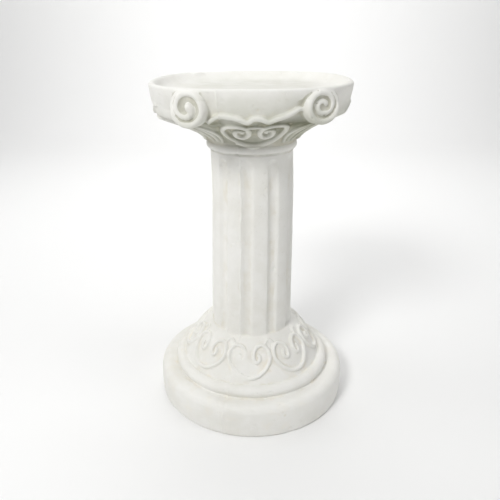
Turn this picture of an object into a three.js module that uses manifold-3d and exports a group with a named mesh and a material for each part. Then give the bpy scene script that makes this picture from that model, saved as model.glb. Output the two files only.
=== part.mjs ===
import * as THREE from 'three';
import { mergeVertices } from 'three/addons/utils/BufferGeometryUtils.js';
import Module from 'manifold-3d';

// A cast garden column with a drum base, scrolled apron, fluted shaft and a dished Ionic bowl.
// Sizes are in millimetres, +Z is up, the column stands on Z = 0 around the Z axis,
// and azimuth 0 is the front, along -Y, growing towards +X.

// Driving dimensions
const HEIGHT = 590;
const BASE_RADIUS = 181;
const ROUND_STEPS = 32;

// Drum base, its soft top edge and the round moulding that stands on it
const DRUM_TOP = 63;
const DRUM_EDGE = 14;
const DRUM_FOOT = 4;
const MOULDING_RADIUS = 139;
const MOULDING_Z = 70.5;
const MOULDING_SECTION = 11;

// Apron, the slope that carries the open loops
const APRON_FOOT = new THREE.Vector2(127, 88);
const APRON_PULL_LOW = new THREE.Vector2(107, 121);
const APRON_PULL_HIGH = new THREE.Vector2(95, 141);
const SHAFT_FOOT = new THREE.Vector2(76.5, 149);
const LOOP_COUNT = 8;
const LOOP_TURN = -1.5;
const LOOP_START = 4;

// Shaft with its flutes
const SHAFT_HEAD = new THREE.Vector2(70.4, 476);
const FLUTE_COUNT = 10;
const FLUTE_TURN = -6.5;
const FLUTE_WIDTH = 20;
const FLUTE_DEPTH = 4.5;
const FLUTE_LOW = 152;
const FLUTE_HIGH = 470;

// Neck ring and bell
const NECK_RADIUS = 70;
const NECK_Z = 488;
const NECK_SECTION = 7;
const BELL_FOOT = new THREE.Vector2(74, 495);
const BELL_PULL_LOW = new THREE.Vector2(79, 512);
const BELL_PULL_HIGH = new THREE.Vector2(117, 526.5);
const BELL_HEAD = new THREE.Vector2(150, 540.5);

// Bowl: wall, lip and shallow dish, in plan a circle drawn out at four soft corners near the rim
const WALL_FOOT = new THREE.Vector2(158, 547);
const LIP_RADIUS = 156.5;
const LIP_SECTION = 5.5;
const DISH_EDGE = new THREE.Vector2(147, 578);
const DISH_FLOOR_RADIUS = 141;
const DISH_FLOOR = 575;
const CORNER_GAIN = 0.075;
const CORNER_START = 556;
const CORNER_END = 592;

// The bowl stands a little to the left of the base: how far, and where the lean begins and ends
const LEAN = -5.5;
const LEAN_START = 380;
const LEAN_END = 600;

// The lower edge of the bowl runs uneven, higher on the right than on the left: the rise at the
// edge, and the heights between which it grows and fades
const UNEVEN_RISE = 3;
const UNEVEN_LOW = [500, 530];
const UNEVEN_HIGH = [560, 585];

// Volutes: two on the front and two on the back. The tuck leans the back of each one with the
// flare of the wall, so that it stays buried above and below
const VOLUTE_TURN = 33.8;
const VOLUTE_FACING = 29.5;
const VOLUTE_RADIUS = 163;
const VOLUTE_Z = 564;
const VOLUTE_SIZE = new THREE.Vector2(29.5, 26);
const VOLUTE_RISE = 9.5;
const VOLUTE_BURY = 8;
const VOLUTE_TUCK = 5.5;
const VOLUTE_EDGE = 3;

// Reach of the spiral at each quarter turn from its outer end, as a share of the volute's size
const SPIRAL_REACH = [0.82, 0.83, 0.83, 0.78, 0.54, 0.42, 0.36, 0.22];
const SPIRAL_LEAD = 0.06;

// Open loops: the bend radius at each quarter turn, from the foot to the end of the curl,
// how far the loop is drawn out up the slope, and how far its ends turn
const LOOP_BENDS = [46, 23, 15, 13, 6, 5];
const LOOP_STRETCH = 1.15;
const BELL_BENDS = [58, 24, 20, 18, 8, 6];
const BELL_STRETCH = 1.45;
const CURL_TURN = 450;
const BELL_LOOP_START = 3;

// Wavy border on the bell: its height, the hump in its middle and the swell towards its ends,
// as shares of half its length, and the angle from its middle to its end
const BORDER_Z = 547;
const BORDER_HUMP = { rise: 5, width: 0.4 };
const BORDER_SWELL = { rise: 9, from: 0.2, width: 1.1 };
const FRONT_SPAN = 24;
const SIDE_SPAN = 28;

// Angle by which all the carving of the bell and bowl is turned from the front
const CARVING_TURN = 2.9;

// Raised bands of the carving: half the width of the foot, the share of it that the flat crown
// takes, the rise above what carries the band and the depth of its foot below it
const LOOP_BAND = { half: 4, crown: 0, rise: 4.4, bury: 3 };
const BELL_BAND = { half: 5, crown: 0, rise: 5.4, bury: 3 };
const BORDER_BAND = { half: 4.2, crown: 0.45, rise: 4.6, bury: 4 };
const SPIRAL_BAND = { half: 5.4, crown: 0.4, rise: 5, bury: 2 };
const LEAF_BAND = { half: 11, crown: 0.45, rise: 5, bury: 5 };

const radians = THREE.MathUtils.degToRad;
const wasm = await Module();
wasm.setup();

/** Turns a closed three.js geometry into a solid that can be joined and cut. */
function solid(geometry) {
  const bare = geometry.clone();
  bare.deleteAttribute('normal');
  bare.deleteAttribute('uv');
  const merged = mergeVertices(bare, 1e-3);
  const vertProperties = new Float32Array(merged.attributes.position.array);
  const corners = merged.index.array;
  const kept = [];
  for (let i = 0; i < corners.length; i += 3) {
    const [a, b, c] = [corners[i], corners[i + 1], corners[i + 2]];
    if (a !== b && b !== c && c !== a) kept.push(a, b, c);
  }
  const triVerts = new Uint32Array(kept);
  return new wasm.Manifold(new wasm.Mesh({ numProp: 3, vertProperties, triVerts }));
}

/** A round stretch of a profile: points on an ellipse between two angles. */
function arc(centreX, centreY, radiusX, radiusY, fromDegrees, toDegrees, steps) {
  const points = [];
  for (let i = 0; i <= steps; i += 1) {
    const angle = radians(THREE.MathUtils.lerp(fromDegrees, toDegrees, i / steps));
    points.push(new THREE.Vector2(
      centreX + radiusX * Math.cos(angle), centreY + radiusY * Math.sin(angle)));
  }
  return points;
}

/** A path through points of the outline, in the straight stretches of the turned body. */
function inStretches(points) {
  const path = new THREE.CurvePath();
  for (let i = 1; i < points.length; i += 1) {
    path.add(new THREE.LineCurve(points[i - 1], points[i]));
  }
  return path;
}

const wallHead = new THREE.Vector2(LIP_RADIUS + LIP_SECTION, HEIGHT - LIP_SECTION);
const apronPoints = new THREE.CubicBezierCurve(
  APRON_FOOT, APRON_PULL_LOW, APRON_PULL_HIGH, SHAFT_FOOT).getPoints(4);
const bellPoints = new THREE.CubicBezierCurve(
  BELL_FOOT, BELL_PULL_LOW, BELL_PULL_HIGH, BELL_HEAD).getPoints(3);
const apronPath = inStretches(apronPoints);
const bellPath = inStretches([...bellPoints, WALL_FOOT, wallHead]);

/** How far the plan is drawn out at its four corners, near the rim. */
function cornerFactor(azimuth, z) {
  const share = THREE.MathUtils.smoothstep(z, CORNER_START, CORNER_END);
  return 1 + CORNER_GAIN * share * (1 - Math.cos(4 * azimuth)) / 2;
}

/** A point at a radius and height, turned to an azimuth and drawn out at the corners. */
function around(radius, z, azimuth) {
  const r = radius * cornerFactor(azimuth, z);
  return new THREE.Vector3(r * Math.sin(azimuth), -r * Math.cos(azimuth), z);
}

/** The whole outline from the middle of the underside to the middle of the dish floor. */
function profile() {
  return [
    new THREE.Vector2(0, 0),
    new THREE.Vector2(BASE_RADIUS - DRUM_FOOT, 0),
    new THREE.Vector2(BASE_RADIUS - 1, DRUM_FOOT),
    ...arc(BASE_RADIUS - DRUM_EDGE, DRUM_TOP - DRUM_EDGE, DRUM_EDGE, DRUM_EDGE, 0, 90, 3),
    new THREE.Vector2(MOULDING_RADIUS + 1.5 * MOULDING_SECTION, DRUM_TOP - 1),
    ...arc(MOULDING_RADIUS, MOULDING_Z, MOULDING_SECTION, MOULDING_SECTION, -42, 125, 4),
    ...apronPoints,
    SHAFT_HEAD,
    ...arc(NECK_RADIUS, NECK_Z, NECK_SECTION, NECK_SECTION, -55, 62, 3),
    ...bellPoints,
    WALL_FOOT,
    wallHead,
    ...arc(LIP_RADIUS, HEIGHT - LIP_SECTION, LIP_SECTION, LIP_SECTION, 30, 150, 2),
    DISH_EDGE,
    new THREE.Vector2(DISH_FLOOR_RADIUS, DISH_FLOOR),
    new THREE.Vector2(0, DISH_FLOOR),
  ];
}

/** The turned body, before the flutes are cut and the carving is added. */
function turnedBody() {
  const body = new THREE.LatheGeometry(profile(), ROUND_STEPS);
  const places = body.attributes.position;
  for (let i = 0; i < places.count; i += 1) {
    const [x, up, y] = [places.getX(i), places.getY(i), places.getZ(i)];
    const place = around(Math.hypot(x, y), up, Math.atan2(x, y));
    places.setXYZ(i, place.x, place.y, place.z);
  }
  return solid(body);
}

/** A raised band along a path, with sloping sides, its foot sunk in what carries it. */
function band(path, steps, { half, crown, rise, bury }, taper) {
  const crest = crown > 0 ? [[-crown, rise], [crown, rise]] : [[0, rise]];
  const section = [[-1, -bury], ...crest, [1, -bury]];
  const vertices = [];
  const corners = [];
  for (let i = 0; i <= steps; i += 1) {
    const t = i / steps;
    const { at, out } = path(t);
    const ahead = path(Math.min(1, t + 1e-3)).at;
    const behind = path(Math.max(0, t - 1e-3)).at;
    const side = new THREE.Vector3().crossVectors(out, ahead.clone().sub(behind)).normalize();
    const size = taper(t);
    for (const [across, up] of section) {
      const lift = up > 0 ? up * size : up;
      const point = at.clone().addScaledVector(side, across * half * size);
      vertices.push(...point.addScaledVector(out, lift).toArray());
    }
  }
  const count = section.length;
  for (let i = 0; i < steps; i += 1) {
    for (let k = 0; k < count; k += 1) {
      const a = i * count + k;
      const b = i * count + (k + 1) % count;
      corners.push(a, a + count, b, b, a + count, b + count);
    }
  }
  const last = steps * count;
  for (let k = 1; k < count - 1; k += 1) {
    corners.push(0, k, k + 1, last, last + k + 1, last + k);
  }
  const geometry = new THREE.BufferGeometry();
  geometry.setAttribute('position', new THREE.Float32BufferAttribute(vertices, 3));
  geometry.setIndex(corners);
  const made = solid(geometry);
  return made.volume() > 0 ? made : solid(flipped(geometry));
}

/** The same geometry with its faces turned over. */
function flipped(geometry) {
  const turned = geometry.clone();
  const corners = turned.index.array;
  for (let i = 0; i < corners.length; i += 3) {
    [corners[i], corners[i + 1]] = [corners[i + 1], corners[i]];
  }
  return turned;
}

/** A path on the body: across is measured round it and up along its outline. */
function onBody(curve, middle, outline) {
  const length = curve.getLength();
  return (t) => {
    const [across, up] = outline(t);
    const share = THREE.MathUtils.clamp(up / length, 0, 1);
    const spot = curve.getPointAt(share);
    const slope = curve.getTangentAt(share);
    const azimuth = middle + across / spot.x;
    const at = around(spot.x, spot.y, azimuth);
    const out = new THREE.Vector3(
      slope.y * Math.sin(azimuth), -slope.y * Math.cos(azimuth), -slope.x);
    return { at, out };
  };
}

/**
 * One arm of an open loop, walked from the middle of its foot while the bend tightens into
 * a curl. Gives [across, up] at a share of the whole turn.
 */
function scrollArm(bends, stretch) {
  const steps = 240;
  const points = [[0, 0]];
  for (let i = 0; i < steps; i += 1) {
    const turned = CURL_TURN * (i + 0.5) / steps;
    const quarter = Math.floor(turned / 90);
    const bend = THREE.MathUtils.lerp(bends[quarter], bends[quarter + 1], turned / 90 - quarter);
    const step = bend * radians(CURL_TURN / steps);
    const [x, y] = points[i];
    const angle = radians(turned);
    points.push([x + step * Math.cos(angle), y + stretch * step * Math.sin(angle)]);
  }
  return (share) => {
    const low = Math.min(steps - 1, Math.floor(share * steps));
    const rest = share * steps - low;
    return points[low].map((value, axis) => value + rest * (points[low + 1][axis] - value));
  };
}

/** An open loop with both ends curled in, as one band from curl to curl. */
function openLoop(curve, middle, start, arm, size, steps) {
  const outline = (t) => {
    const [across, up] = arm(Math.abs(2 * t - 1));
    return [Math.sign(t - 0.5) * across, start + up];
  };
  const taper = (t) => 1 - 0.4 * Math.abs(2 * t - 1) ** 3;
  return band(onBody(curve, middle, outline), steps, size, taper);
}

/** A long round-ended cutter for each flute, leaning with the taper of the shaft. */
function fluteCutters() {
  const radius = FLUTE_WIDTH ** 2 / (8 * FLUTE_DEPTH) + FLUTE_DEPTH / 2;
  const reach = radius - FLUTE_DEPTH;
  const lean = Math.atan2(SHAFT_FOOT.x - SHAFT_HEAD.x, SHAFT_HEAD.y - SHAFT_FOOT.y);
  const end = FLUTE_WIDTH / 2;
  const run = FLUTE_HIGH - FLUTE_LOW - 2 * end;
  const middleZ = (FLUTE_HIGH + FLUTE_LOW) / 2;
  const share = (middleZ - SHAFT_FOOT.y) / (SHAFT_HEAD.y - SHAFT_FOOT.y);
  const middleRadius = THREE.MathUtils.lerp(SHAFT_FOOT.x, SHAFT_HEAD.x, share) + reach;
  const cutters = [];
  for (let i = 0; i < FLUTE_COUNT; i += 1) {
    const cutter = new THREE.CapsuleGeometry(radius, run, 3, 12);
    cutter.rotateX(Math.PI / 2 - lean);
    cutter.translate(0, -middleRadius, middleZ);
    cutter.rotateZ(radians(FLUTE_TURN + i * 360 / FLUTE_COUNT));
    cutters.push(solid(cutter));
  }
  return cutters;
}

/** The eight open loops on the apron. */
function apronLoops() {
  const arm = scrollArm(LOOP_BENDS, LOOP_STRETCH);
  const loops = [];
  for (let i = 0; i < LOOP_COUNT; i += 1) {
    const middle = radians(LOOP_TURN + i * 360 / LOOP_COUNT);
    loops.push(openLoop(apronPath, middle, LOOP_START, arm, LOOP_BAND, 20));
  }
  return loops;
}

/** The open loop and the wavy border above it, on one side of the bell. */
function bellSide(middle, halfSpan) {
  const arm = scrollArm(BELL_BENDS, BELL_STRETCH);
  const loop = openLoop(bellPath, middle, BELL_LOOP_START, arm, BELL_BAND, 18);
  const wall = wallHead.clone().sub(WALL_FOOT);
  const border = (t) => {
    const reach = Math.abs(2 * t - 1);
    const hump = Math.max(0, Math.cos(Math.PI * reach / BORDER_HUMP.width));
    const along = (reach - BORDER_SWELL.from) / BORDER_SWELL.width;
    const swell = Math.sin(Math.PI * THREE.MathUtils.clamp(along, 0, 1)) ** 2;
    const z = BORDER_Z + BORDER_HUMP.rise * hump + BORDER_SWELL.rise * swell;
    const azimuth = middle + (2 * t - 1) * halfSpan;
    const radius = WALL_FOOT.x + wall.x * (z - WALL_FOOT.y) / wall.y;
    const out = new THREE.Vector3(Math.sin(azimuth), -Math.cos(azimuth), -wall.x / wall.y);
    return { at: around(radius, z, azimuth), out: out.normalize() };
  };
  return [loop, band(border, 14, BORDER_BAND, () => 1)];
}

/** A raised tongue on the bell below each volute. */
function bellLeaf(middle) {
  const rib = (t) => [0, 4 + 62 * t];
  const taper = (t) => 0.35 + 0.65 * Math.sin(Math.PI * (0.15 + 0.75 * t));
  return band(onBody(bellPath, middle, rib), 5, LEAF_BAND, taper);
}

/** A volute: a soft-edged oval boss with a spiral band that winds in to its eye. */
function volute(azimuth, facing, hand) {
  const wall = new THREE.Vector3(
    VOLUTE_RADIUS * Math.sin(azimuth), -VOLUTE_RADIUS * Math.cos(azimuth), VOLUTE_Z);
  const out = new THREE.Vector3(Math.sin(facing), -Math.cos(facing), 0);
  const side = new THREE.Vector3(Math.cos(facing), Math.sin(facing), 0).multiplyScalar(hand);
  const up = new THREE.Vector3(0, 0, 1);
  const place = (p, q, lift) => wall.clone()
    .addScaledVector(side, p * VOLUTE_SIZE.x)
    .addScaledVector(up, q * VOLUTE_SIZE.y)
    .addScaledVector(out, lift);

  const edge = VOLUTE_EDGE / VOLUTE_SIZE.x;
  const outline = [
    new THREE.Vector2(0, -VOLUTE_BURY),
    new THREE.Vector2(1, -VOLUTE_BURY),
    new THREE.Vector2(1, VOLUTE_RISE - VOLUTE_EDGE),
    new THREE.Vector2(1 - edge, VOLUTE_RISE),
    new THREE.Vector2(0, VOLUTE_RISE),
  ];
  const boss = new THREE.LatheGeometry(outline, 14);
  const places = boss.attributes.position;
  for (let i = 0; i < places.count; i += 1) {
    const lean = places.getY(i) < 0 ? VOLUTE_TUCK * places.getZ(i) : 0;
    const point = place(places.getX(i), places.getZ(i), places.getY(i) + lean);
    places.setXYZ(i, point.x, point.y, point.z);
  }
  const raw = solid(boss);
  const puck = raw.volume() > 0 ? raw : solid(flipped(boss));

  const spiral = (t) => {
    const quarters = t * (SPIRAL_REACH.length - 1);
    const low = Math.min(SPIRAL_REACH.length - 2, Math.floor(quarters));
    const reach = THREE.MathUtils.lerp(SPIRAL_REACH[low], SPIRAL_REACH[low + 1], quarters - low);
    const turn = 2 * Math.PI * (quarters / 4 - SPIRAL_LEAD);
    const at = place(reach * Math.cos(turn), -reach * Math.sin(turn), VOLUTE_RISE);
    return { at, out };
  };
  const curl = band(spiral, 14, SPIRAL_BAND, (t) => 1 - 0.45 * t);
  return [puck, curl];
}

/** The whole casting: turned body, flutes cut, carving joined. */
function column() {
  const flutes = wasm.Manifold.union(fluteCutters());
  const parts = [turnedBody().subtract(flutes), ...apronLoops()];
  for (const [side, span] of [[0, FRONT_SPAN], [90, SIDE_SPAN], [180, FRONT_SPAN], [270, SIDE_SPAN]]) {
    parts.push(...bellSide(radians(CARVING_TURN + side), radians(span)));
    parts.push(bellLeaf(radians(CARVING_TURN + side + 45)));
  }
  for (const face of [0, 180]) {
    for (const hand of [-1, 1]) {
      const azimuth = radians(face + CARVING_TURN + hand * VOLUTE_TURN);
      const facing = radians(face + CARVING_TURN + hand * VOLUTE_FACING);
      parts.push(...volute(azimuth, facing, hand));
    }
  }
  const pieces = wasm.Manifold.union(parts).decompose();
  return pieces.reduce((outer, piece) => (piece.volume() > outer.volume() ? piece : outer));
}

/** How far a point of the bowl's lower edge is raised, by its place across and its height. */
function unevenness(x, z) {
  const grown = THREE.MathUtils.smoothstep(z, ...UNEVEN_LOW);
  const faded = 1 - THREE.MathUtils.smoothstep(z, ...UNEVEN_HIGH);
  return UNEVEN_RISE * (x / WALL_FOOT.x) * grown * faded;
}

/** The joined solid as a three.js mesh, with the bowl set over to its side of the base. */
function meshOf(joined, name, material) {
  const { vertProperties, triVerts } = joined.getMesh();
  for (let i = 0; i < vertProperties.length; i += 3) {
    const [x, , z] = vertProperties.slice(i, i + 3);
    vertProperties[i] = x + LEAN * THREE.MathUtils.smoothstep(z, LEAN_START, LEAN_END);
    vertProperties[i + 2] = z + unevenness(x, z);
  }
  const geometry = new THREE.BufferGeometry();
  geometry.setAttribute('position', new THREE.BufferAttribute(vertProperties, 3));
  geometry.setIndex(new THREE.BufferAttribute(triVerts, 1));
  geometry.computeVertexNormals();
  const mesh = new THREE.Mesh(geometry, material);
  mesh.name = name;
  return mesh;
}

const plaster = new THREE.MeshStandardMaterial({ color: 0xecebe4, roughness: 0.85, metalness: 0 });
const model = new THREE.Group();
model.add(meshOf(column(), 'column', plaster));

export default model;
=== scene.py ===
import math

import bmesh
import bpy
import numpy as np
from mathutils import Matrix, Vector


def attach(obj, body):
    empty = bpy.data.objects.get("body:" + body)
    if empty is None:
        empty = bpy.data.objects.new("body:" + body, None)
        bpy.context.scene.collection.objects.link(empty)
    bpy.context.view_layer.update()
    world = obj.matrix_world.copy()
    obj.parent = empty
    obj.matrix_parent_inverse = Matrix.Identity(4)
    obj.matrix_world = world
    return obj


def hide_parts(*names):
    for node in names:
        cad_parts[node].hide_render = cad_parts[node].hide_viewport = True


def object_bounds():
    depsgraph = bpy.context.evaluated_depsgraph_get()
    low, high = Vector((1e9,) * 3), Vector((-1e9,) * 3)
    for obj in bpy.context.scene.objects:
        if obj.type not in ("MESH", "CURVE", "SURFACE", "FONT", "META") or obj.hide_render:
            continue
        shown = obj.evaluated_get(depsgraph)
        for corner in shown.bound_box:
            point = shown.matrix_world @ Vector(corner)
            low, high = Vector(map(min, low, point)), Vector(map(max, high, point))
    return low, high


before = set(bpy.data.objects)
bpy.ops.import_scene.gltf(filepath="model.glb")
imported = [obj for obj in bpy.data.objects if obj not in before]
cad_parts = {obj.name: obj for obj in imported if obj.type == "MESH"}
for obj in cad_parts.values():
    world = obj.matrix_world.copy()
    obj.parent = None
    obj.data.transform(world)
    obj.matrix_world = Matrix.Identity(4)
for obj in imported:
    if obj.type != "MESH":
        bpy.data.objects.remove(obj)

CAD_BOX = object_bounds()

# A cast garden column. The shape is worked out in millimetres and set down in metres.
# Angles run round the column from the front, which faces -Y, towards +X.
MM = 0.001

# Drum base, with a side that swells a little half way up
BASE_RADIUS = 181.0
DRUM_LOW, DRUM_MIDDLE, DRUM_HIGH = 4.0, 27.0, 49.0
DRUM_SWELL = 1.1

# Bowl: a circle drawn out at four soft corners near the rim. It stands a little to the left, and
# its lower edge rises towards the right
CORNER_GAIN = 0.075
CORNER_LOW, CORNER_HIGH = 556.0, 592.0
LEAN = -5.5
LEAN_LOW, LEAN_HIGH = 380.0, 600.0
UNEVEN_RISE, UNEVEN_REACH = 3.0, 158.0
UNEVEN_LOW, UNEVEN_HIGH = (500.0, 530.0), (560.0, 585.0)

# Shaft and flutes
SHAFT_FOOT, SHAFT_HEAD = (76.5, 149.0), (70.4, 476.0)
FLUTES = 10
FLUTE_TURN = -6.5
FLUTE_WIDTH, FLUTE_DEPTH = 20.5, 5.0
FLUTE_LOW, FLUTE_HIGH = 143.0, 472.0

# Carving on the apron and the bell
LOOPS = 8
LOOP_TURN = -1.5
LOOP_START = 2.0
BELL_SIDES = 4
BELL_START = 4.0
CARVING_TURN = 2.9
ARCH_TAPER = 0.8
BORDER_GIRTH, BORDER_DIP = 4.1, 0.3

# Both pairs of borders: name, turn and lift
BORDERS = [("front_border", 0.0, 1.3), ("side_border", 90.0, -1.4)]

# The parts of a corner leaf: name, side it bends to, girth, share of that which is sunk, and lift
LEAF_FOOT, LEAF_LENGTH = 2.0, 72.0
LEAF_GAP, LEAF_BELLY = 5.0, 13.0
LEAF_PARTS = [("leaf", 0.0, 10.0, 0.58, 0.0), ("leaf_left", -1.0, 4.0, 0.0, 1.0),
              ("leaf_right", 1.0, 4.0, 0.0, 1.0)]

# Volutes
VOLUTE_TURN, VOLUTE_FACING = 33.8, 29.5
VOLUTE_RADIUS, VOLUTE_Z = 163.0, 564.0
VOLUTE_WIDE, VOLUTE_TALL = 29.5, 26.0
VOLUTE_RISE, VOLUTE_BACK, VOLUTE_TUCK = 9.5, 9.0, 5.5
VOLUTE_EDGE = 2.8
VOLUTE_STEPS = 72
SPIRAL_LEAD = 0.06

# Reach of each volute's spiral at every quarter turn, as a share of the volute's size, and the
# radius of its band at some of them. The left one ends in a full eye, the right one winds on.
SPIRALS = {
    -1: ([0.80, 0.82, 0.83, 0.80, 0.60, 0.42, 0.28, 0.10],
         [0, 0.5, 4, 6, 6.6, 7], [1.5, 5, 4.4, 5.6, 6.8, 5.0]),
    1: ([0.82, 0.83, 0.83, 0.78, 0.54, 0.42, 0.36, 0.25, 0.10], [0, 0.5, 8], [1.5, 5, 3.4]),
}

# Casting: gap and columns of the turned mesh, sides of a round band, the grain it is all fused at
# and how that is softened, the most faces, and how far it stays inside its box in metres
ROW_GAP, COLUMNS = 2.5, 720
BAND_SIDES = 14
GRAIN = 1.2
SOFTENING, SOFT_PASSES = 0.5, 2
FACES = 190000
HAIR = 1e-6

# Cast skin: height of its broad waves and small lumps, depth of its pits, and its seed
SKIN_WAVES, SKIN_LUMPS, SKIN_PITS = 1.3, 0.8, 1.5
SKIN_SEED = 3.0

# Mould seam, at this angle and opposite it: a step that fades to one side, and a thin fin. Both
# wander to and fro, given as how far and over what height, and start just above the floor
SEAM_TURN, SEAM_NEAR = -16.0, 0.6
SEAM_STEP, SEAM_FADE = 1.2, 26.0
FIN_RISE, FIN_WIDTH = 0.9, 1.3
SEAM_WANDER = [(0.8, 13.0), (0.5, 4.7)]
SEAM_FOOT = 3.0

# The seam marks what faces outward by this much, and from this height on only by so much
SEAM_FACING, RIM_LOW, RIM_FACING = -0.2, 560.0, 0.25

# Where the apron's carving is worn: the angle of its middle, its half width, how much goes, and
# the height below which it goes
WEAR_TURN, WEAR_SIZE, WEAR = -10.0, 17.0, 0.9
WEAR_TOP, WEAR_FADE = 138.0, 9.0

# Chips and dents: where, how wide and how deep
CHIPS = [((-129, -98, 580), 4.0, 2.6), ((-123, -104, 577), 3.0, 1.8), ((-72, -146, 574), 4.0, 1.6),
         ((39, -157, 574), 2.6, 1.0), ((11, -161, 562), 3.0, 1.0), ((-32, -66, 331), 2.6, 1.3),
         ((-27, -68, 331), 2.4, 1.2), ((-20, -71, 332), 2.6, 1.3), ((-36, -63, 322), 2.4, 1.1),
         ((72, -165, 8), 6.0, 2.2), ((-120, -133, 61), 5.0, 1.6), ((158, 86, 60), 8.0, 2.4),
         ((-40, 176, 5), 7.0, 2.0)]

# Small pits on the drum and on the bowl's wall: how many, the wall's radius, and the least and
# most of their height, width and depth
PITS_SEED = 11
PITS = [(70, 181, (8, 52), (1.2, 2.6), (0.4, 1.1)),
        (90, 161, (552, 582), (1.0, 2.2), (0.3, 0.9))]

# What counts as a full hollow and as fully proud, and where the plain dish begins
HOLLOW_DEPTH, PROUD_RISE = 0.12, 6.0
DISH_HEIGHT, DISH_REACH = 568.0, 157.5

# Half of an open loop, across from its middle and up the slope, and the border above the bell,
# as an angle from the middle and a height
APRON_LOOP = [(0, 0), (14, 2.5), (28, 13), (36, 26), (37.6, 36), (33, 50), (25, 57.5), (17, 58),
              (10.5, 53), (7.8, 44), (8.6, 34), (13, 28), (18, 31), (18.5, 38), (15.5, 42)]
BELL_LOOP = [(0, 0), (16, 3.5), (30, 12), (40, 24), (46, 40), (48, 56), (46.5, 74), (40, 86),
             (31, 88), (21, 82), (13, 69), (8.6, 52), (8.2, 36), (12, 25), (20, 23), (27, 31),
             (29, 44), (25, 54), (18.5, 52), (17.5, 44)]
BORDER = [(-25, 545.5), (-21.6, 550.7), (-18, 555), (-13.5, 554), (-9, 551.5), (-4.3, 546.6),
          (-1.6, 550.3), (0.4, 551.5), (3, 550), (6.4, 546.4), (10, 549.3), (14, 552),
          (18, 556.2), (21.5, 561.5), (25, 562.5)]

# How far to the left the painted shade on the bell and in the volutes is centred, in metres
BOWL_SHIFT = 0.004

# Colours of the cement, of what lies on it, and of the shade painted on it (the olives, near black
# and the two greys)
TINTS = {
    "cement": (0.775, 0.765, 0.715, 1),
    "pale": (0.84, 0.835, 0.80, 1),
    "palest": (0.87, 0.865, 0.84, 1),
    "olive": (0.47, 0.475, 0.38, 1),
    "dark olive": (0.20, 0.205, 0.135, 1),
    "near black": (0.085, 0.09, 0.05, 1),
    "ring grey": (0.34, 0.33, 0.27, 1),
    "scroll grey": (0.36, 0.355, 0.27, 1),
    "stain": (0.66, 0.61, 0.48, 1),
    "yellowed": (0.84, 0.73, 0.52, 1),
    "speck": (0.60, 0.57, 0.50, 1),
}

# Studio lights: name, where it stands and what it faces in metres, its width and its power
LIGHTS = [
    ("key", (-0.95, -1.6, 1.9), (0, 0, 0.33), 0.65, 31),
    ("left", (-2.2, 0.1, 1.4), (0, 0, 0.4), 1.4, 8),
    ("right", (2.1, -0.7, 1.3), (0, 0, 0.4), 1.6, 10),
    ("top", (0.1, -0.2, 2.8), (0, 0, 0.3), 2.0, 12),
    ("backdrop", (0, 1.3, 2.4), (0, 3.1, 0.7), 2.0, 42),
]
AIR_LIGHT = 0.27

# Sweep: where the floor starts and ends and its rows, the radius of the bend at its back, the
# heights of the wall's two rows and the half width
SWEEP_START, SWEEP_END, SWEEP_STEP = -4000, 2200, 200
SWEEP_BEND, SWEEP_WALL, SWEEP_HALF = 900, (1600, 4000), 5000

# The photograph's view: angles in radians and place in metres, then the focal length and the
# lens's centre in pixels of a square frame
VIEW_PITCH, VIEW_YAW, VIEW_ROLL = 0.443, -0.048, -0.010
VIEW_PLACE = (0, -0.90455, 0.66674)
VIEW_FRAME, VIEW_FOCAL, VIEW_CENTRE = 500, 524.434, (229.013, 275.001)
SENSOR = 36


def arc(centre, size, start, end, steps):
    """Points on a round stretch of the outline, as radius and height."""
    angles = np.radians(np.linspace(start, end, steps + 1))
    return np.column_stack((centre[0] + size * np.cos(angles), centre[1] + size * np.sin(angles)))


def bezier(a, b, c, d, steps=60):
    """Points on a cubic curve from a to d, drawn towards b and c."""
    t = np.linspace(0, 1, steps + 1)[:, None]
    a, b, c, d = (np.array(p, float) for p in (a, b, c, d))
    return a * (1 - t) ** 3 + 3 * b * t * (1 - t) ** 2 + 3 * c * t * t * (1 - t) + d * t ** 3


APRON = bezier((127, 88), (107, 121), (95, 141), SHAFT_FOOT)
BELL = bezier((74, 495), (79, 513.5), (113, 529), (150, 541.5))
BELL_AND_WALL = np.vstack((
    BELL, [(154.8, 543.2), (157.4, 546.5), (158.8, 551), (160, 557), (161.6, 565),
           (162.2, 575), (162, 584)]))
DRUM_HEIGHTS = np.linspace(DRUM_LOW, DRUM_HIGH, 16)
DRUM_OFF = (DRUM_HEIGHTS - DRUM_MIDDLE) / (DRUM_MIDDLE - DRUM_LOW)
OUTLINE = np.vstack((
    [(0, 0), (177, 0)],
    np.column_stack((BASE_RADIUS - DRUM_SWELL * DRUM_OFF ** 2, DRUM_HEIGHTS)),
    arc((166, 49), 14, 4, 90, 14),
    [(155.5, 62), (150.5, 61.2)],
    arc((139, 70.5), 11, -48, 125, 22),
    APRON,
    [SHAFT_HEAD],
    arc((70, 488), 7, -84, 66, 18),
    BELL_AND_WALL,
    arc((158.4, 586.4), 3.6, 4, 95, 8),
    bezier((155.5, 589.9), (148, 588.5), (150, 575.2), (128, 575), 14),
    [(0, 575)],
))


def eased(value, low, high):
    """0 below low, 1 above high and smooth between them."""
    t = np.clip((value - low) / (high - low), 0, 1)
    return t * t * (3 - 2 * t)


def corner(angle, z):
    """How far the plan is drawn out at an angle and height."""
    return 1 + CORNER_GAIN * eased(z, CORNER_LOW, CORNER_HIGH) * (1 - np.cos(4 * angle)) / 2


def around(radius, z, angle):
    """Points at a radius, height and angle, with the corners drawn out."""
    r = radius * corner(angle, z)
    return np.stack((r * np.sin(angle), -r * np.cos(angle), z + 0 * r), axis=-1)


def polar(p):
    """The angle round the column and the distance from its axis of each point."""
    return np.arctan2(p[:, 0], -p[:, 1]), np.hypot(p[:, 0], p[:, 1])


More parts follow.
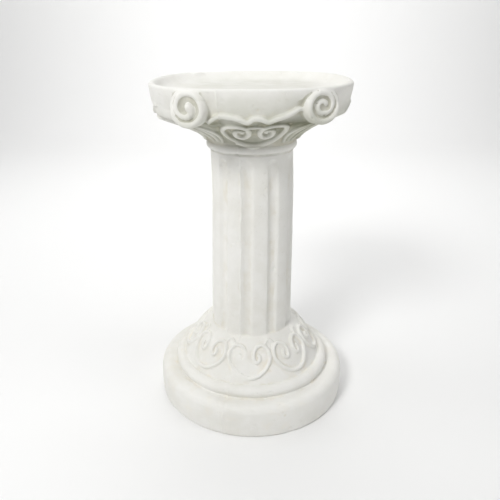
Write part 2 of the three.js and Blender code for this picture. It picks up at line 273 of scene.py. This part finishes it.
def filled(points, gap):
    """The same outline with points no further apart than gap, except across the axis."""
    rows = [points[0]]
    for a, b in zip(points[:-1], points[1:]):
        steps = 1 if 0 in (a[0], b[0]) else max(1, math.ceil(np.hypot(*(b - a)) / gap))
        rows.extend(a + (b - a) * (k + 1) / steps for k in range(steps))
    return np.array(rows)


def mesh_object(name, points, faces, edges=()):
    """An object with a mesh of these points, given in millimetres."""
    mesh = bpy.data.meshes.new(name)
    mesh.from_pydata(np.asarray(points) * MM, edges, faces)
    mesh.validate()
    obj = bpy.data.objects.new(name, mesh)
    bpy.context.collection.objects.link(obj)
    return obj


def baked(obj, name):
    """The evaluated object as a plain mesh object. The one it came from goes."""
    evaluated = obj.evaluated_get(bpy.context.evaluated_depsgraph_get())
    mesh = bpy.data.meshes.new_from_object(evaluated)
    made = bpy.data.objects.new(name, mesh)
    bpy.context.collection.objects.link(made)
    bpy.data.objects.remove(obj, do_unlink=True)
    mesh.name = name
    return made


def places(obj):
    """The mesh's points in metres."""
    flat = np.empty(len(obj.data.vertices) * 3)
    obj.data.vertices.foreach_get("co", flat)
    return flat.reshape(-1, 3)


def place(obj, points):
    """Moves the mesh's points, given in metres."""
    obj.data.vertices.foreach_set("co", points.reshape(-1))
    obj.data.update()


def normals(obj):
    """The way out of the mesh at each of its points."""
    flat = np.empty(len(obj.data.vertices) * 3)
    obj.data.vertex_normals.foreach_get("vector", flat)
    return flat.reshape(-1, 3)


def curve_through(knots, steps):
    """A smooth run of points through these knots."""
    knots = np.array(knots, float)
    ends = np.vstack((2 * knots[0] - knots[1], knots, 2 * knots[-1] - knots[-2]))
    t = np.linspace(0, len(knots) - 1, steps)
    i = np.minimum(t.astype(int), len(knots) - 2)
    f = (t - i)[:, None]
    a, b, c, d = (ends[i + k] for k in range(4))
    return 0.5 * (2 * b + (c - a) * f + (2 * a - 5 * b + 4 * c - d) * f ** 2
                  + (3 * b - a - 3 * c + d) * f ** 3)


def flute_cut(r, z, angles):
    """How deep the flutes cut into the shaft at each height and angle."""
    radius = FLUTE_WIDTH ** 2 / (8 * FLUTE_DEPTH) + FLUTE_DEPTH / 2
    pitch = 2 * math.pi / FLUTES
    off = (angles - math.radians(FLUTE_TURN) + pitch / 2) % pitch - pitch / 2
    half = FLUTE_WIDTH / 2
    beyond = np.maximum(0, np.maximum(FLUTE_LOW + half - z, z - FLUTE_HIGH + half))
    across = np.hypot(r * np.sin(off)[None, :], beyond)
    cut = np.maximum(0, np.sqrt(np.maximum(0, radius ** 2 - across ** 2)) - radius + FLUTE_DEPTH)
    return cut * ((z > SHAFT_FOOT[1] - 0.1) & (z < SHAFT_HEAD[1]))


def turned_body():
    """The turned body with its flutes, one closed surface from the underside to the dish."""
    rows = filled(OUTLINE, ROW_GAP)
    columns = np.arange(COLUMNS)
    after = (columns + 1) % COLUMNS
    angles = columns * 2 * math.pi / COLUMNS
    rim = rows[1:-1]
    r, z = rim[:, 0][:, None], rim[:, 1][:, None]
    skin = around(r - flute_cut(r, z, angles), z, angles[None, :])
    points = np.vstack(([(0, 0, 0)], skin.reshape(-1, 3), [(0, 0, rows[-1, 1])]))
    starts = 1 + np.arange(len(rim) - 1)[:, None] * COLUMNS
    first, ahead = starts + columns, starts + after
    quads = np.stack((first, ahead, ahead + COLUMNS, first + COLUMNS), -1).reshape(-1, 4)
    top = 1 + (len(rim) - 1) * COLUMNS
    last = len(points) - 1
    under = [(0, 1 + int(b), 1 + int(a)) for a, b in zip(columns, after)]
    floor = [(last, top + int(a), top + int(b)) for a, b in zip(columns, after)]
    return mesh_object("turned_body", points, quads.tolist() + under + floor)


def on_slope(curve, middle, across, up):
    """Points and outward directions on the body, across from an angle and up the outline."""
    lengths = np.concatenate(([0], np.cumsum(np.hypot(*np.diff(curve, axis=0).T))))
    up = np.clip(up, 0, lengths[-1])
    r, z = np.interp(up, lengths, curve[:, 0]), np.interp(up, lengths, curve[:, 1])
    slope = np.gradient(curve, lengths, axis=0)
    dr, dz = np.interp(up, lengths, slope[:, 0]), np.interp(up, lengths, slope[:, 1])
    angle = middle + across / r
    out = np.stack((dz * np.sin(angle), -dz * np.cos(angle), -dr), axis=-1)
    return around(r, z, angle), out / np.linalg.norm(out, axis=1)[:, None]


def ridge(name, points, out, girth, lift):
    """The middle line of a round band, raised by lift off what carries it."""
    line = points + out * np.asarray(lift).reshape(-1, 1)
    obj = mesh_object(name, line, [], [(i, i + 1) for i in range(len(line) - 1)])
    width = obj.data.attributes.new("girth", "FLOAT", "POINT")
    width.data.foreach_set("value", np.broadcast_to(girth, len(line)).astype(float) * MM)
    return obj


class Tree:
    """A node tree written as calls: each makes a node, sets it up and feeds its sockets."""

    def __init__(self, tree):
        self.tree = tree

    def node(self, kind, settings=None, values=None, give=0):
        made = self.tree.nodes.new(kind)
        for key, value in (settings or {}).items():
            setattr(made, key, value)
        for key, value in (values or {}).items():
            if isinstance(value, Wire):
                self.tree.links.new(value.socket, made.inputs[key])
            else:
                made.inputs[key].default_value = value
        return Wire(self, made.outputs[give]) if made.outputs else made


class Wire:
    """A socket that adds, takes away, multiplies and divides like a number."""

    def __init__(self, tree, socket):
        self.tree, self.socket = tree, socket

    def maths(self, operation, a, b=0.0):
        return self.tree.node("ShaderNodeMath", {"operation": operation}, {0: a, 1: b})

    def __add__(self, other):
        return self.maths("ADD", self, other)

    def __radd__(self, other):
        return self.maths("ADD", other, self)

    def __sub__(self, other):
        return self.maths("SUBTRACT", self, other)

    def __rsub__(self, other):
        return self.maths("SUBTRACT", other, self)

    def __mul__(self, other):
        return self.maths("MULTIPLY", self, other)

    def __rmul__(self, other):
        return self.maths("MULTIPLY", other, self)

    def __truediv__(self, other):
        return self.maths("DIVIDE", self, other)

    def ramp(self, low, high):
        """0 below low, 1 above high and smooth between them."""
        return self.tree.node("ShaderNodeMapRange", {"interpolation_type": "SMOOTHSTEP"},
                              {"Value": self, "From Min": low, "From Max": high})

    def stretch(self, rise, fall):
        """1 between two edges, each given as where it starts and ends, and 0 beyond them."""
        return self.ramp(*rise) * (1 - self.ramp(*fall))


def geometry_tree(name, inputs):
    """A geometry tree with named inputs: (name, socket type, value)."""
    group = bpy.data.node_groups.new(name, "GeometryNodeTree")
    group.interface.new_socket("Geometry", in_out="INPUT", socket_type="NodeSocketGeometry")
    for label, kind, value in inputs:
        socket = group.interface.new_socket(label, in_out="INPUT", socket_type=kind)
        if value is not None:
            socket.default_value = value
    group.interface.new_socket("Geometry", in_out="OUTPUT", socket_type="NodeSocketGeometry")
    tree = Tree(group)
    start = group.nodes.new("NodeGroupInput")
    return tree, {s.name: Wire(tree, s) for s in start.outputs if s.name}


def ring_tree():
    """Sweeps a round band along each line and stands copies of it in a ring."""
    tree, given = geometry_tree("ring_of_bands", [
        ("Copies", "NodeSocketInt", 1),
        ("Turn", "NodeSocketFloat", 0.0),
        ("Sides", "NodeSocketInt", 12),
        ("Material", "NodeSocketMaterial", None),
    ])
    line = tree.node("GeometryNodeMeshToCurve", None, {"Mesh": given["Geometry"]})
    girth = tree.node("GeometryNodeInputNamedAttribute", {"data_type": "FLOAT"},
                      {"Name": "girth"})
    section = tree.node("GeometryNodeCurvePrimitiveCircle", None,
                        {"Resolution": given["Sides"], "Radius": 1.0})
    band = tree.node("GeometryNodeCurveToMesh", None,
                     {"Curve": line, "Profile Curve": section, "Scale": girth,
                      "Fill Caps": True})
    stands = tree.node("GeometryNodePoints", None, {"Count": given["Copies"]})
    index = tree.node("GeometryNodeInputIndex")
    angle = given["Turn"] + index * (2 * math.pi) / given["Copies"]
    turn = tree.node("ShaderNodeCombineXYZ", None, {"Z": angle})
    ring = tree.node("GeometryNodeInstanceOnPoints", None,
                     {"Points": stands, "Instance": band, "Rotation": turn})
    real = tree.node("GeometryNodeRealizeInstances", None, {"Geometry": ring})
    done = tree.node("GeometryNodeSetMaterial", None,
                     {"Geometry": real, "Material": given["Material"]})
    tree.node("NodeGroupOutput", None, {"Geometry": done})
    return tree.tree


def skin_tree():
    """Makes the cast skin uneven, with broad waves, small lumps and a few pits."""
    tree, given = geometry_tree("cast_skin", [
        ("Waves", "NodeSocketFloat", 0.0),
        ("Lumps", "NodeSocketFloat", 0.0),
        ("Pits", "NodeSocketFloat", 0.0),
        ("Seed", "NodeSocketFloat", 0.0),
        ("Material", "NodeSocketMaterial", None),
    ])
    at = tree.node("GeometryNodeInputPosition")
    height = tree.node("ShaderNodeSeparateXYZ", None, {0: at}, give=2)

    def noise(scale, detail, shift):
        return tree.node("ShaderNodeTexNoise", {"noise_dimensions": "4D"},
                         {"Vector": at, "W": given["Seed"] + shift, "Scale": scale,
                          "Detail": detail, "Roughness": 0.55})

    pitted = noise(170.0, 1.0, 9.0).ramp(0.66, 0.78) * noise(14.0, 1.0, 4.0).ramp(0.45, 0.62)
    lift = (given["Waves"] * (noise(11.0, 2.0, 0.0) - 0.5)
            + given["Lumps"] * (noise(75.0, 3.0, 2.0) - 0.5)
            - given["Pits"] * pitted)
    normal = tree.node("GeometryNodeInputNormal")
    offset = tree.node("ShaderNodeVectorMath", {"operation": "SCALE"},
                       {0: normal, "Scale": lift * height.ramp(0.0, 0.004)})
    moved = tree.node("GeometryNodeSetPosition", None,
                      {"Geometry": given["Geometry"], "Offset": offset})
    done = tree.node("GeometryNodeSetMaterial", None,
                     {"Geometry": moved, "Material": given["Material"]})
    tree.node("NodeGroupOutput", None, {"Geometry": done})
    return tree.tree


def cement():
    """Off-white cast cement, mottled, stained in its hollows and finely pitted, with painted shade
    under the bowl, between the bell's ridges, in the volutes and in the creases by the neck ring.
    """
    material = bpy.data.materials.new("cast_cement")
    material.use_nodes = True
    tree = Tree(material.node_tree)
    shader = material.node_tree.nodes["Principled BSDF"]
    at = tree.node("ShaderNodeTexCoord", None, None, give="Object")
    height = tree.node("ShaderNodeSeparateXYZ", None, {0: at}, give=2)
    aside = tree.node("ShaderNodeSeparateXYZ", None, {0: at}, give=0)
    apart = aside.maths("ABSOLUTE", aside + BOWL_SHIFT)
    front = 1 - apart.ramp(0.075, 0.125)
    hollow = tree.node("ShaderNodeAttribute", {"attribute_name": "hollow"}, None, give="Fac")
    proud = tree.node("ShaderNodeAttribute", {"attribute_name": "proud"}, None, give="Fac")

    def noise(scale, detail=3.0, rough=0.55):
        return tree.node("ShaderNodeTexNoise", None,
                         {"Vector": at, "Scale": scale, "Detail": detail, "Roughness": rough})

    def mixed(share, below, above):
        return tree.node("ShaderNodeMix", {"data_type": "RGBA"},
                         {0: share, 6: below, 7: above}, give=2)

    # Mottled cement
    broad, cloud, speck, grit = noise(7.0), noise(38.0, 5.0), noise(420.0, 2.0), noise(1300.0)
    patchy = noise(31.0, 4.0).ramp(0.35, 0.65)
    base = mixed(broad.ramp(0.3, 0.7), TINTS["cement"], TINTS["pale"])
    base = mixed(cloud.ramp(0.35, 0.75) * 0.5, base, TINTS["palest"])

    # Olive painted shade on the bell under the bowl, strongest at its right away from the key
    # light, and a thin band of painted shade low on the bowl's wall
    olive_shade = height.stretch((0.490, 0.500), (0.540, 0.582)) * (0.35 + 0.65 * front)
    olive_shade = olive_shade * (1 - 0.3 * proud.ramp(0.3, 0.9))
    olive_shade = olive_shade * (0.36 + 0.24 * patchy + 0.6 * aside.ramp(0.045, 0.09))
    base = mixed(olive_shade, base, TINTS["olive"])
    # Painted shade on the bowl's wall, darkest low down and fading towards the rim
    wall = height.stretch((0.546, 0.554), (0.574, 0.589)) * front
    wall = wall * (1 - proud.ramp(0.2, 0.7)) * (0.13 + 0.13 * patchy)
    base = mixed(wall, base, TINTS["olive"])

    # Dark painted shade between the bell's ridges, deeper towards the top of the bell and darkest
    # at the right under the border
    bell_shade = height.stretch((0.494, 0.500), (0.540, 0.556)) * (0.12 + 0.88 * front)
    bell_shade = bell_shade * (1 - proud.ramp(0.15, 0.75)) * (0.45 + 0.55 * height.ramp(0.505, 0.535))
    # The right of the bell, away from the key light, takes the deepest painted shade
    right = aside.ramp(0.015, 0.055) * height.ramp(0.520, 0.540)
    base = mixed(bell_shade * (0.55 + 0.35 * patchy + 0.1 * right), base, TINTS["dark olive"])
    base = mixed(bell_shade * right * 0.4, base, TINTS["near black"])

    # Painted shade in the creases under and over the neck ring
    line = (height.stretch((0.4765, 0.480), (0.4815, 0.485))
            + height.stretch((0.4925, 0.495), (0.496, 0.499)))
    base = mixed(line * (0.25 + 0.35 * patchy), base, TINTS["ring grey"])

    # Stained hollows everywhere, and grey painted shade in the hollows of the volutes
    stain = hollow.ramp(0.2, 0.9) * noise(23.0, 4.0).ramp(0.42, 0.68)
    base = mixed(stain * 0.42, base, TINTS["stain"])
    volute_shade = hollow.ramp(0.15, 0.7) * height.ramp(0.530, 0.545)
    volute_shade = volute_shade * apart.stretch((0.060, 0.072), (0.118, 0.130))
    base = mixed(volute_shade * (0.3 + 0.4 * patchy), base, TINTS["scroll grey"])

    # A yellowed foot, and fine specks
    foot = (1 - height.ramp(0.05, 0.16)) * noise(30.0, 4.0).ramp(0.5, 0.75)
    base = mixed(foot * (0.12 + 0.35 * hollow), base, TINTS["yellowed"])
    base = mixed(speck.ramp(0.68, 0.76) * 0.35, base, TINTS["speck"])

    rough = 0.78 + 0.14 * cloud.ramp(0.3, 0.7)
    grain = grit * 0.25 + speck * 0.5 + cloud * 1.2 - 1.4 * noise(240.0, 2.0).ramp(0.64, 0.74)
    bump = tree.node("ShaderNodeBump", None, {"Height": grain, "Strength": 0.6,
                                             "Distance": 0.0006})
    shader.inputs["Specular IOR Level"].default_value = 0.35
    for socket, wire in (("Base Color", base), ("Roughness", rough), ("Normal", bump)):
        material.node_tree.links.new(wire.socket, shader.inputs[socket])
    return material


CEMENT, RING, SKIN = cement(), ring_tree(), skin_tree()


def grown(obj, group, name, **values):
    """Runs a geometry tree on an object with these inputs and the cement, and keeps the result."""
    values["Material"] = CEMENT
    modifier = obj.modifiers.new(group.name, "NODES")
    modifier.node_group = group
    for item in group.interface.items_tree:
        if item.in_out == "INPUT" and item.name in values:
            modifier[item.identifier] = values[item.name]
    return baked(obj, name)


def stood(line, copies, turn, name):
    """Bands on a line, repeated round the column and turned by an angle in degrees."""
    return grown(line, RING, name, Copies=copies, Turn=math.radians(turn), Sides=BAND_SIDES)


def open_loop(name, curve, half, start, steps, girth, taper, lift):
    """An open loop on the slope, from curl to curl, made from one half and thinner at its ends."""
    half = np.array(half, float)
    path = curve_through(np.vstack((half[::-1] * (-1, 1), half[1:])), steps)
    points, out = on_slope(curve, 0.0, path[:, 0], start + path[:, 1])
    reach = np.abs(np.linspace(-1, 1, len(path)))
    return ridge(name, points, out, girth - taper * reach ** 3, lift)


def small_arch(name, curve, half, top, drop, girth, lift):
    """A small arch on the slope, this wide to either side and dropping towards its ends."""
    bend = np.linspace(-1, 1, 40)
    points, out = on_slope(curve, 0.0, half * bend, top - drop * bend ** 2)
    return ridge(name, points, out, girth - ARCH_TAPER * bend ** 2, lift)


def apron_carving():
    """Eight open loops round the apron, with a small arch between neighbours."""
    loops = open_loop("loop_line", APRON, APRON_LOOP, LOOP_START, 260,
                      girth=3.5, taper=0.7, lift=1.6)
    arches = small_arch("arch_line", APRON, half=9.5, top=70, drop=12, girth=2.6, lift=0.5)
    return [stood(loops, LOOPS, LOOP_TURN, "apron_loops"),
            stood(arches, LOOPS, LOOP_TURN + 180 / LOOPS, "apron_arches")]


def wavy_borders():
    """The wavy border between bell and bowl, on the front and back and on both sides."""
    knots = curve_through(BORDER, 160)
    angle, z = np.radians(knots[:, 0]), knots[:, 1]
    edge = around(np.interp(z, BELL_AND_WALL[:, 1], BELL_AND_WALL[:, 0]), z, angle)
    face = np.stack((np.sin(angle), -np.cos(angle), -BORDER_DIP + 0 * angle), axis=-1)
    face /= np.linalg.norm(face, axis=1)[:, None]
    made = []
    for name, turn, lift in BORDERS:
        border = ridge(name + "_line", edge, face, BORDER_GIRTH, lift)
        made.append(stood(border, 2, CARVING_TURN + turn, name))
    return made


def leaves():
    """A leaf at each corner of the bell: a broad middle and a thin rib on either side."""
    t = np.linspace(0, 1, 60)
    up = BELL_START + LEAF_FOOT + LEAF_LENGTH * t
    belly = LEAF_GAP + LEAF_BELLY * np.sin(math.pi * (0.1 + 0.75 * t))
    swell = 0.45 + 0.55 * np.sin(math.pi * (0.12 + 0.78 * t))
    made = []
    for name, side, wide, sunk, lift in LEAF_PARTS:
        girth = wide * swell
        points, out = on_slope(BELL_AND_WALL, math.radians(45), side * belly, up)
        rib = ridge(name + "_line", points, out, girth, lift - sunk * girth)
        made.append(stood(rib, BELL_SIDES, CARVING_TURN, name))
    return made


def bell_carving():
    """An open loop, an arch and a wavy border on each side of the bell, and corner leaves."""
    loops = open_loop("bell_line", BELL_AND_WALL, BELL_LOOP, BELL_START, 320,
                      girth=4.6, taper=0.9, lift=1.3)
    arches = small_arch("bell_arch_line", BELL_AND_WALL, half=13.5, top=BELL_START + 79, drop=7,
                        girth=3.2, lift=2.0)
    return [stood(loops, BELL_SIDES, CARVING_TURN, "bell_loops"),
            stood(arches, BELL_SIDES, CARVING_TURN, "bell_arches"),
            *wavy_borders(), *leaves()]


def volute(hand):
    """A volute at the left (-1) or right (1): a soft-edged boss and the spiral on its face."""
    angle = math.radians(hand * VOLUTE_TURN)
    wall = np.array((VOLUTE_RADIUS * math.sin(angle), -VOLUTE_RADIUS * math.cos(angle),
                     VOLUTE_Z))
    facing = math.radians(hand * VOLUTE_FACING)
    out = np.array((math.sin(facing), -math.cos(facing), 0))
    side = np.array((math.cos(facing), math.sin(facing), 0)) * hand
    up = np.array((0, 0, 1))

    def spot(p, q, lift):
        return (wall + np.multiply.outer(p * VOLUTE_WIDE, side)
                + np.multiply.outer(q * VOLUTE_TALL, up) + np.multiply.outer(lift, out))

    turns = np.arange(VOLUTE_STEPS) * 2 * math.pi / VOLUTE_STEPS
    soft = np.radians(np.linspace(0, 90, 7))
    reach = np.concatenate(([1.0], 1 - 0.1 * (1 - np.cos(soft)), [0.8, 0.5, 0.2]))
    lift = np.concatenate(([-VOLUTE_BACK], VOLUTE_RISE - VOLUTE_EDGE * (1 - np.sin(soft)),
                           [VOLUTE_RISE] * 3))
    rings = [spot(s * np.cos(turns), s * np.sin(turns), h + VOLUTE_TUCK * np.sin(turns) * (h < 0))
             for s, h in zip(reach, lift)]
    none = np.zeros(1)
    points = np.vstack([spot(none, none, none - VOLUTE_BACK), *rings,
                        spot(none, none, none + VOLUTE_RISE)])
    faces = []
    for k in range(VOLUTE_STEPS):
        n = (k + 1) % VOLUTE_STEPS
        faces.append((0, 1 + n, 1 + k))
        for row in range(len(rings) - 1):
            low = 1 + row * VOLUTE_STEPS
            faces.append((low + k, low + n, low + VOLUTE_STEPS + n, low + VOLUTE_STEPS + k))
        low = 1 + (len(rings) - 1) * VOLUTE_STEPS
        faces.append((low + k, low + n, len(points) - 1))
    boss = mesh_object("volute_boss", points, faces)
    shell = bmesh.new()
    shell.from_mesh(boss.data)
    bmesh.ops.recalc_face_normals(shell, faces=shell.faces)
    shell.to_mesh(boss.data)
    shell.free()

    reaches, knots, girths = SPIRALS[hand]
    quarters, size = curve_through(list(enumerate(reaches)), 240).T
    turn = 2 * math.pi * (quarters / 4 - SPIRAL_LEAD)
    girth = np.interp(quarters, knots, girths)
    line = spot(size * np.cos(turn), -size * np.sin(turn), VOLUTE_RISE + 0.5 * (girth - 5))
    spiral = ridge("spiral_line", line, np.tile(out, (len(size), 1)), girth, 0.0)
    return boss, stood(spiral, 1, 0.0, "volute_curl")


def opposite(part):
    """A copy of a part, turned half way round the column."""
    copy = part.copy()
    copy.data = part.data.copy()
    copy.data.transform(Matrix.Rotation(math.pi, 4, "Z"))
    bpy.context.collection.objects.link(copy)
    return copy


def volutes():
    """All four volutes, one at each corner of the bowl."""
    made = []
    for hand in (-1, 1):
        for piece in volute(hand):
            piece.data.transform(Matrix.Rotation(math.radians(CARVING_TURN), 4, "Z"))
            made += [piece, opposite(piece)]
    return made


def joined(parts, name):
    """All the parts as one object."""
    whole = bmesh.new()
    for part in parts:
        whole.from_mesh(part.data)
        bpy.data.objects.remove(part, do_unlink=True)
    mesh = bpy.data.meshes.new(name)
    whole.to_mesh(mesh)
    whole.free()
    made = bpy.data.objects.new(name, mesh)
    bpy.context.collection.objects.link(made)
    return made


def fused(parts):
    """The parts as one casting, with the soft inner corners that a mould leaves."""
    whole = joined(parts, "casting")
    remesh = whole.modifiers.new("fuse", "REMESH")
    remesh.mode = "VOXEL"
    remesh.voxel_size = GRAIN * MM
    soften = whole.modifiers.new("soften", "SMOOTH")
    soften.factor, soften.iterations = SOFTENING, SOFT_PASSES
    return baked(whole, "casting")


def bare_slope(p):
    """How far each point lies outside the turned slope below the carving, measured level, and
    how steep the slope is there. Both are 0 where there is no carving."""
    angle, r = polar(p)
    beyond, steep = np.zeros(len(p)), np.zeros(len(p))
    for curve in (APRON, BELL_AND_WALL):
        rising = curve[curve[:, 1] < curve[:, 1].max()]
        bare = np.interp(p[:, 2], rising[:, 1], rising[:, 0])
        run, climb = np.gradient(rising, axis=0).T
        here = (p[:, 2] > rising[0, 1]) & (p[:, 2] < rising[-1, 1])
        beyond += here * np.maximum(0, r / corner(angle, p[:, 2]) - bare)
        steep += here * np.interp(p[:, 2], rising[:, 1], climb / np.hypot(run, climb))
    return beyond, steep


def seam_push(p, angle, r):
    """How far the mould seam sets each point in or out, as it wanders down the casting."""
    push = np.zeros(len(p))
    wander = sum(reach * np.sin(p[:, 2] / length) for reach, length in SEAM_WANDER)
    for seam in (SEAM_TURN, SEAM_TURN + 180):
        from_seam = (angle - math.radians(seam) + math.pi) % (2 * math.pi) - math.pi
        off = from_seam * r + wander
        step = -SEAM_STEP * (off < 0) * np.clip(1 - np.abs(off) / SEAM_FADE, 0, 1)
        fin = FIN_RISE * np.exp(-(off / FIN_WIDTH) ** 2)
        push += (np.abs(from_seam) < SEAM_NEAR) * (step + fin)
    return push


def knocks():
    """The chips and dents, and small pits scattered over the drum and the bowl's wall."""
    rng = np.random.default_rng(PITS_SEED)
    made = list(CHIPS)
    for count, radius, heights, widths, depths in PITS:
        for _ in range(count):
            turn, up = rng.uniform(-math.pi, math.pi), rng.uniform(*heights)
            spot = (radius * math.sin(turn), -radius * math.cos(turn), up)
            made.append((spot, rng.uniform(*widths), rng.uniform(*depths)))
    return made


def weathered(casting):
    """Steps the casting along its mould seam, wears its apron and knocks it about a little."""
    p, normal = places(casting) / MM, normals(casting)
    angle, r = polar(p)
    outward = normal[:, 0] * np.sin(angle) - normal[:, 1] * np.cos(angle)
    least = np.where(p[:, 2] > RIM_LOW, RIM_FACING, SEAM_FACING)
    wall = np.clip(p[:, 2] / SEAM_FOOT, 0, 1) * (outward > least)
    p += normal * (seam_push(p, angle, r) * wall)[:, None]
    from_wear = (angle - math.radians(WEAR_TURN)) * r
    worn = WEAR * np.clip((WEAR_TOP - p[:, 2]) / WEAR_FADE, 0, 1)
    worn *= np.exp(-(from_wear / WEAR_SIZE) ** 4)
    p[:, :2] *= (1 - worn * bare_slope(p)[0] / np.maximum(1, r))[:, None]
    for spot, size, depth in knocks():
        away = np.linalg.norm(p - np.array(spot), axis=1)
        p -= normal * (depth * np.exp(-(away / size) ** 2))[:, None]
    place(casting, p * MM)
    return casting


def thinned(casting):
    """Fewer faces where the casting is plain."""
    casting.data.calc_loop_triangles()
    count = len(casting.data.loop_triangles)
    if count > FACES:
        decimate = casting.modifiers.new("thin", "DECIMATE")
        decimate.ratio = FACES / count
        casting = baked(casting, "casting")
    return casting


def mark_hollows(casting):
    """Keeps how far each point lies in a hollow and how proud it stands, for the stains and the
    painted shade.
    """
    mesh = casting.data
    p, normal = places(casting) / MM, normals(casting)
    edges = np.empty(len(mesh.edges) * 2, int)
    mesh.edges.foreach_get("vertices", edges)
    a, b = edges.reshape(-1, 2).T
    count = np.bincount(a, minlength=len(p)) + np.bincount(b, minlength=len(p))

    def spread(values):
        total = np.bincount(a, values[b], len(p)) + np.bincount(b, values[a], len(p))
        return total / np.maximum(1, count)

    mean = np.stack([spread(p[:, k]) for k in range(3)], axis=-1)
    depth = ((mean - p) * normal).sum(axis=1)
    for _ in range(4):
        depth = 0.5 * depth + 0.5 * spread(depth)
    angle, r = polar(p)
    in_dish = (p[:, 2] > DISH_HEIGHT) & (r / corner(angle, p[:, 2]) < DISH_REACH)
    beyond, steep = bare_slope(p)
    for name, values in (("hollow", np.clip(depth / HOLLOW_DEPTH, 0, 1) * ~in_dish),
                         ("proud", np.clip(beyond * steep / PROUD_RISE, 0, 1))):
        mesh.attributes.new(name, "FLOAT", "POINT").data.foreach_set("value", values)


def leaned(casting):
    """Sets the bowl over to the left of the base and lifts the right of its lower edge."""
    p = places(casting)
    x, z = p[:, 0] / MM, p[:, 2] / MM
    share = eased(z, *UNEVEN_LOW) * (1 - eased(z, *UNEVEN_HIGH))
    p[:, 0] += LEAN * MM * eased(z, LEAN_LOW, LEAN_HIGH)
    p[:, 2] += UNEVEN_RISE * MM * x / UNEVEN_REACH * share
    place(casting, p)


def squared_off(casting):
    """Flattens the underside and keeps the casting inside its own box."""
    low, high = (np.array(c) for c in CAD_BOX)
    p = places(casting)
    p[p[:, 2] < 0.5 * MM, 2] = 0
    place(casting, np.clip(p, low + HAIR, high - HAIR))


def cast_column():
    """The whole casting."""
    parts = [turned_body(), *apron_carving(), *bell_carving(), *volutes()]
    casting = weathered(fused(parts))
    casting = grown(casting, SKIN, "casting", Waves=SKIN_WAVES * MM, Lumps=SKIN_LUMPS * MM,
                    Pits=SKIN_PITS * MM, Seed=SKIN_SEED)
    casting = thinned(casting)
    mark_hollows(casting)
    leaned(casting)
    squared_off(casting)
    casting.name = casting.data.name = "cast_column"
    for face in casting.data.polygons:
        face.use_smooth = True
    return casting


def sweep():
    """A pale seamless floor that bends up into a wall at the back."""
    ends = [(y, 0) for y in range(SWEEP_START, SWEEP_END, SWEEP_STEP)]
    ends += [(SWEEP_END + SWEEP_BEND * math.sin(a), SWEEP_BEND - SWEEP_BEND * math.cos(a))
             for a in np.radians(np.linspace(6, 90, 15))]
    ends += [(SWEEP_END + SWEEP_BEND, z) for z in SWEEP_WALL]
    points = [(x, y, z) for y, z in ends for x in (-SWEEP_HALF, SWEEP_HALF)]
    faces = [(2 * k, 2 * k + 1, 2 * k + 3, 2 * k + 2) for k in range(len(ends) - 1)]
    made = mesh_object("studio_sweep", points, faces)
    for face in made.data.polygons:
        face.use_smooth = True
    pale = bpy.data.materials.new("pale_sweep")
    pale.use_nodes = True
    shader = pale.node_tree.nodes["Principled BSDF"]
    shader.inputs["Base Color"].default_value = (0.88, 0.88, 0.875, 1)
    shader.inputs["Roughness"].default_value = 0.9
    made.data.materials.append(pale)


def lights():
    """A soft key from the front left, soft sides, a top light and one for the backdrop."""
    for name, spot, aim, size, power in LIGHTS:
        light = bpy.data.lights.new(name, "AREA")
        light.shape, light.size, light.energy = "DISK", size, power
        lamp = bpy.data.objects.new(name, light)
        lamp.location = spot
        lamp.rotation_euler = (Vector(aim) - Vector(spot)).to_track_quat("-Z", "Y").to_euler()
        bpy.context.collection.objects.link(lamp)
    world = bpy.data.worlds.new("studio_air")
    world.use_nodes = True
    air = world.node_tree.nodes["Background"]
    air.inputs["Color"].default_value = (1.0, 1.0, 1.0, 1)
    air.inputs["Strength"].default_value = AIR_LIGHT
    bpy.context.scene.world = world
    bpy.context.scene.view_settings.view_transform = "Standard"


def camera():
    """The photograph's view: in front, a little above, looking down."""
    ahead = Vector((math.sin(VIEW_YAW) * math.cos(VIEW_PITCH),
                    math.cos(VIEW_YAW) * math.cos(VIEW_PITCH), -math.sin(VIEW_PITCH)))
    right = ahead.cross(Vector((0, 0, 1))).normalized()
    up = right.cross(ahead)
    across = right * math.cos(VIEW_ROLL) + up * math.sin(VIEW_ROLL)
    above = up * math.cos(VIEW_ROLL) - right * math.sin(VIEW_ROLL)
    middle = VIEW_FRAME / 2
    lens = bpy.data.cameras.new("camera")
    lens.sensor_width = SENSOR
    lens.lens = VIEW_FOCAL / VIEW_FRAME * SENSOR
    lens.shift_x = (middle - VIEW_CENTRE[0]) / VIEW_FRAME
    lens.shift_y = (VIEW_CENTRE[1] - middle) / VIEW_FRAME
    seen = bpy.data.objects.new("camera", lens)
    turn = Matrix((across, above, -ahead)).transposed()
    seen.matrix_world = Matrix.Translation(VIEW_PLACE) @ turn.to_4x4()
    bpy.context.collection.objects.link(seen)
    bpy.context.scene.camera = seen


camera()
column = cast_column()
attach(column, "root")
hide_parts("column")
sweep()
lights()
